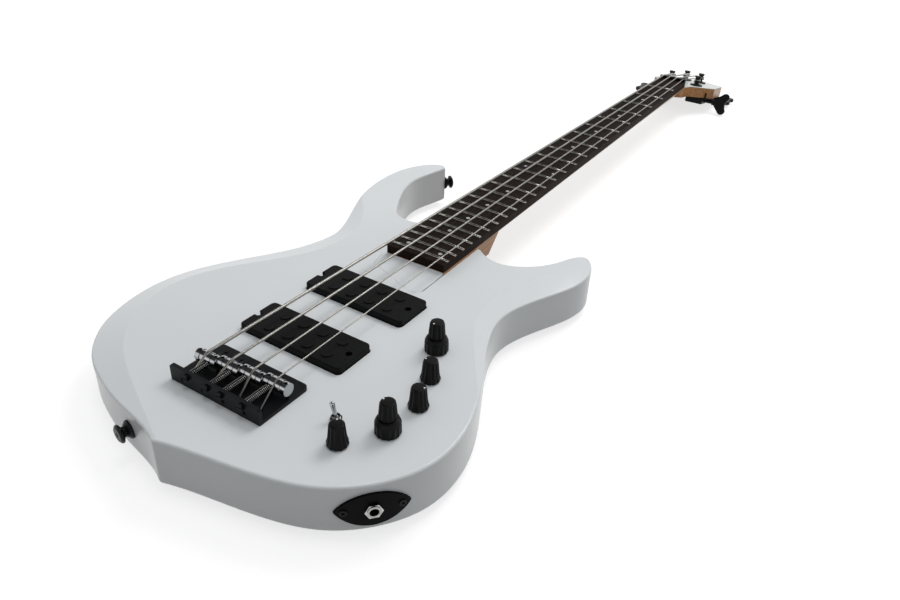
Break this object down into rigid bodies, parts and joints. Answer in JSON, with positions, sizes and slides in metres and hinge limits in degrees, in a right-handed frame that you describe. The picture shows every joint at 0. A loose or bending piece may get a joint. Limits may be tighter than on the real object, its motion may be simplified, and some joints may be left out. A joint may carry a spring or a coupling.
{
  "type": "electric bass guitar",
  "caption": "Solid-body electric bass guitar with bolt-on neck, fretted board, tilted headstock with geared tuners, humbucking pickups, adjustable bridge saddles and control knobs.",
  "frame": {"origin": "on the back of the body, on the centre line of the strings, under the nominal saddle line", "axes": "+X from the bass side to the treble side, +Y from the tail to the headstock, +Z out of the body's top"},
  "size_m": [0.3201, 1.0817, 0.0714],
  "materials": {
    "lacquer": "gloss white lacquer over wood",
    "cover_plastic": "gloss white",
    "black_plastic": "satin black",
    "black_metal": "satin black plating",
    "maple": "satin varnish",
    "dark_board": "oiled dark wood",
    "fret_metal": "polished",
    "pearl_plastic": "pearl",
    "steel": "plain",
    "string_metal": "wound steel",
    "pickup_plastic": "matte black",
    "coil": "taped winding",
    "chrome": "polished",
    "circuit_board": "solder mask",
    "battery_case": "printed wrap with no marks",
    "knob_plastic": "satin black"
  },
  "bodies": {
    "root": {"body": "lacquer", "heel_cover": "cover_plastic", "control_cover": "black_plastic", "control_cover_screws": "black_metal", "neck": "maple", "fretboard": "dark_board", "frets": "fret_metal", "dot_inlays": "pearl_plastic", "nut": "black_plastic", "truss_rod": "steel", "neck_plate": "black_metal", "neck_bolts": "black_metal", "bridge_plate": "black_metal", "bridge_screws": "black_metal", "string_ferrules": "black_metal", "strings": "string_metal", "intonation_springs": "steel", "neck_pickup": "pickup_plastic", "bridge_pickup": "pickup_plastic", "pickup_poles": "pickup_plastic", "pickup_coils": "coil", "pickup_screws": "black_metal", "tuner_housings": "black_metal", "tuner_bushings": "black_metal", "tuner_screws": "black_metal", "pots": "steel", "control_nuts": "chrome", "toggle_body": "steel", "jack_socket": "steel", "jack_nut": "chrome", "jack_plate": "black_metal", "jack_screws": "black_metal", "preamp_board": "circuit_board", "battery": "battery_case", "strap_buttons": "black_metal", "strap_screws": "black_metal"},
    "saddle_e": {"saddle_e": "chrome"},
    "intonation_screw_e": {"intonation_screw_e": "black_metal"},
    "tuner_key_e": {"tuner_key_e": "black_metal"},
    "tuner_post_e": {"tuner_post_e": "black_metal"},
    "saddle_a": {"saddle_a": "chrome"},
    "intonation_screw_a": {"intonation_screw_a": "black_metal"},
    "tuner_key_a": {"tuner_key_a": "black_metal"},
    "tuner_post_a": {"tuner_post_a": "black_metal"},
    "saddle_d": {"saddle_d": "chrome"},
    "intonation_screw_d": {"intonation_screw_d": "black_metal"},
    "tuner_key_d": {"tuner_key_d": "black_metal"},
    "tuner_post_d": {"tuner_post_d": "black_metal"},
    "saddle_g": {"saddle_g": "chrome"},
    "intonation_screw_g": {"intonation_screw_g": "black_metal"},
    "tuner_key_g": {"tuner_key_g": "black_metal"},
    "tuner_post_g": {"tuner_post_g": "black_metal"},
    "blend_knob": {"blend_knob": "knob_plastic"},
    "mid_knob": {"mid_knob": "knob_plastic"},
    "tone_knob": {"tone_knob": "knob_plastic"},
    "preamp_knob_lower": {"preamp_knob_lower": "knob_plastic"},
    "preamp_knob_upper": {"preamp_knob_upper": "knob_plastic"},
    "volume_knob_lower": {"volume_knob_lower": "knob_plastic"},
    "volume_knob_upper": {"volume_knob_upper": "knob_plastic"},
    "toggle_lever": {"toggle_lever": "chrome"}
  },
  "joints": [
    {"name": "tuner_key_e_turn", "type": "hinge", "parent": "root", "child": "tuner_key_e", "pos_m": [-0.04, 0.92875, 0.01053], "axis": [-1, 0, 0], "continuous": true},
    {"name": "tuner_post_e_turn", "type": "hinge", "parent": "root", "child": "tuner_post_e", "pos_m": [-0.0205, 0.9186, 0.00945], "axis": [0, 0.1908, 0.9816], "continuous": true, "deforming": ["strings"]},
    {"name": "tuner_key_a_turn", "type": "hinge", "parent": "root", "child": "tuner_key_a", "pos_m": [-0.04, 0.97881, 0.0008], "axis": [-1, 0, 0], "continuous": true},
    {"name": "tuner_post_a_turn", "type": "hinge", "parent": "root", "child": "tuner_post_a", "pos_m": [-0.0115, 0.96867, -0.00028], "axis": [0, 0.1908, 0.9816], "continuous": true, "deforming": ["strings"]},
    {"name": "tuner_key_d_turn", "type": "hinge", "parent": "root", "child": "tuner_key_d", "pos_m": [0.04, 0.97881, 0.0008], "axis": [1, 0, 0], "continuous": true},
    {"name": "tuner_post_d_turn", "type": "hinge", "parent": "root", "child": "tuner_post_d", "pos_m": [0.0115, 0.96867, -0.00028], "axis": [0, 0.1908, 0.9816], "continuous": true, "deforming": ["strings"]},
    {"name": "tuner_key_g_turn", "type": "hinge", "parent": "root", "child": "tuner_key_g", "pos_m": [0.04, 0.92875, 0.01053], "axis": [1, 0, 0], "continuous": true},
    {"name": "tuner_post_g_turn", "type": "hinge", "parent": "root", "child": "tuner_post_g", "pos_m": [0.0205, 0.9186, 0.00945], "axis": [0, 0.1908, 0.9816], "continuous": true, "deforming": ["strings"]},
    {"name": "intonation_screw_e_turn", "type": "hinge", "parent": "root", "child": "intonation_screw_e", "pos_m": [-0.0271, -0.0276, 0.0496], "axis": [0, 1, 0], "range_deg": [-2880, 2880]},
    {"name": "saddle_e_slide", "type": "slide", "parent": "root", "child": "saddle_e", "axis": [0, 1, 0], "range_m": [-0.004, 0.004], "deforming": ["intonation_springs", "strings"]},
    {"name": "intonation_screw_a_turn", "type": "hinge", "parent": "root", "child": "intonation_screw_a", "pos_m": [-0.0074, -0.0276, 0.0496], "axis": [0, 1, 0], "range_deg": [-2880, 2880]},
    {"name": "saddle_a_slide", "type": "slide", "parent": "root", "child": "saddle_a", "axis": [0, 1, 0], "range_m": [-0.004, 0.004], "deforming": ["intonation_springs", "strings"]},
    {"name": "intonation_screw_d_turn", "type": "hinge", "parent": "root", "child": "intonation_screw_d", "pos_m": [0.0055, -0.0276, 0.0496], "axis": [0, 1, 0], "range_deg": [-2880, 2880]},
    {"name": "saddle_d_slide", "type": "slide", "parent": "root", "child": "saddle_d", "axis": [0, 1, 0], "range_m": [-0.004, 0.004], "deforming": ["intonation_springs", "strings"]},
    {"name": "intonation_screw_g_turn", "type": "hinge", "parent": "root", "child": "intonation_screw_g", "pos_m": [0.0255, -0.0276, 0.0496], "axis": [0, 1, 0], "range_deg": [-2880, 2880]},
    {"name": "saddle_g_slide", "type": "slide", "parent": "root", "child": "saddle_g", "axis": [0, 1, 0], "range_m": [-0.004, 0.004], "deforming": ["intonation_springs", "strings"]},
    {"name": "blend_knob_turn", "type": "hinge", "parent": "root", "child": "blend_knob", "pos_m": [0.0938, -0.0108, 0.05], "axis": [0, 0, -1], "range_deg": [-150, 150]},
    {"name": "mid_knob_turn", "type": "hinge", "parent": "root", "child": "mid_knob", "pos_m": [0.1149, 0.0502, 0.05], "axis": [0, 0, -1], "range_deg": [-150, 150]},
    {"name": "tone_knob_turn", "type": "hinge", "parent": "root", "child": "tone_knob", "pos_m": [0.1044, 0.08, 0.05], "axis": [0, 0, -1], "range_deg": [-150, 150]},
    {"name": "preamp_knob_lower_turn", "type": "hinge", "parent": "root", "child": "preamp_knob_lower", "pos_m": [0.1131, 0.0177, 0.05], "axis": [0, 0, -1], "range_deg": [-150, 150]},
    {"name": "preamp_knob_upper_turn", "type": "hinge", "parent": "root", "child": "preamp_knob_upper", "pos_m": [0.1131, 0.0177, 0.05], "axis": [0, 0, -1], "range_deg": [-150, 150]},
    {"name": "volume_knob_lower_turn", "type": "hinge", "parent": "root", "child": "volume_knob_lower", "pos_m": [0.0877, 0.1126, 0.05], "axis": [0, 0, -1], "range_deg": [-150, 150]},
    {"name": "volume_knob_upper_turn", "type": "hinge", "parent": "root", "child": "volume_knob_upper", "pos_m": [0.0877, 0.1126, 0.05], "axis": [0, 0, -1], "range_deg": [-150, 150]},
    {"name": "toggle_lever_tilt", "type": "hinge", "parent": "root", "child": "toggle_lever", "pos_m": [0.0778, 0.0068, 0.0422], "axis": [0, 1, 0], "range_deg": [0, 30]}
  ],
  "couplings": [
    {"joint": "tuner_key_e_turn", "follows": "tuner_post_e_turn", "ratio": -20},
    {"joint": "tuner_key_a_turn", "follows": "tuner_post_a_turn", "ratio": -20},
    {"joint": "tuner_key_d_turn", "follows": "tuner_post_d_turn", "ratio": 20},
    {"joint": "tuner_key_g_turn", "follows": "tuner_post_g_turn", "ratio": 20},
    {"joint": "intonation_screw_e_turn", "follows": "saddle_e_slide", "rad_per_m": -8976},
    {"joint": "intonation_screw_a_turn", "follows": "saddle_a_slide", "rad_per_m": -8976},
    {"joint": "intonation_screw_d_turn", "follows": "saddle_d_slide", "rad_per_m": -8976},
    {"joint": "intonation_screw_g_turn", "follows": "saddle_g_slide", "rad_per_m": -8976}
  ]
}
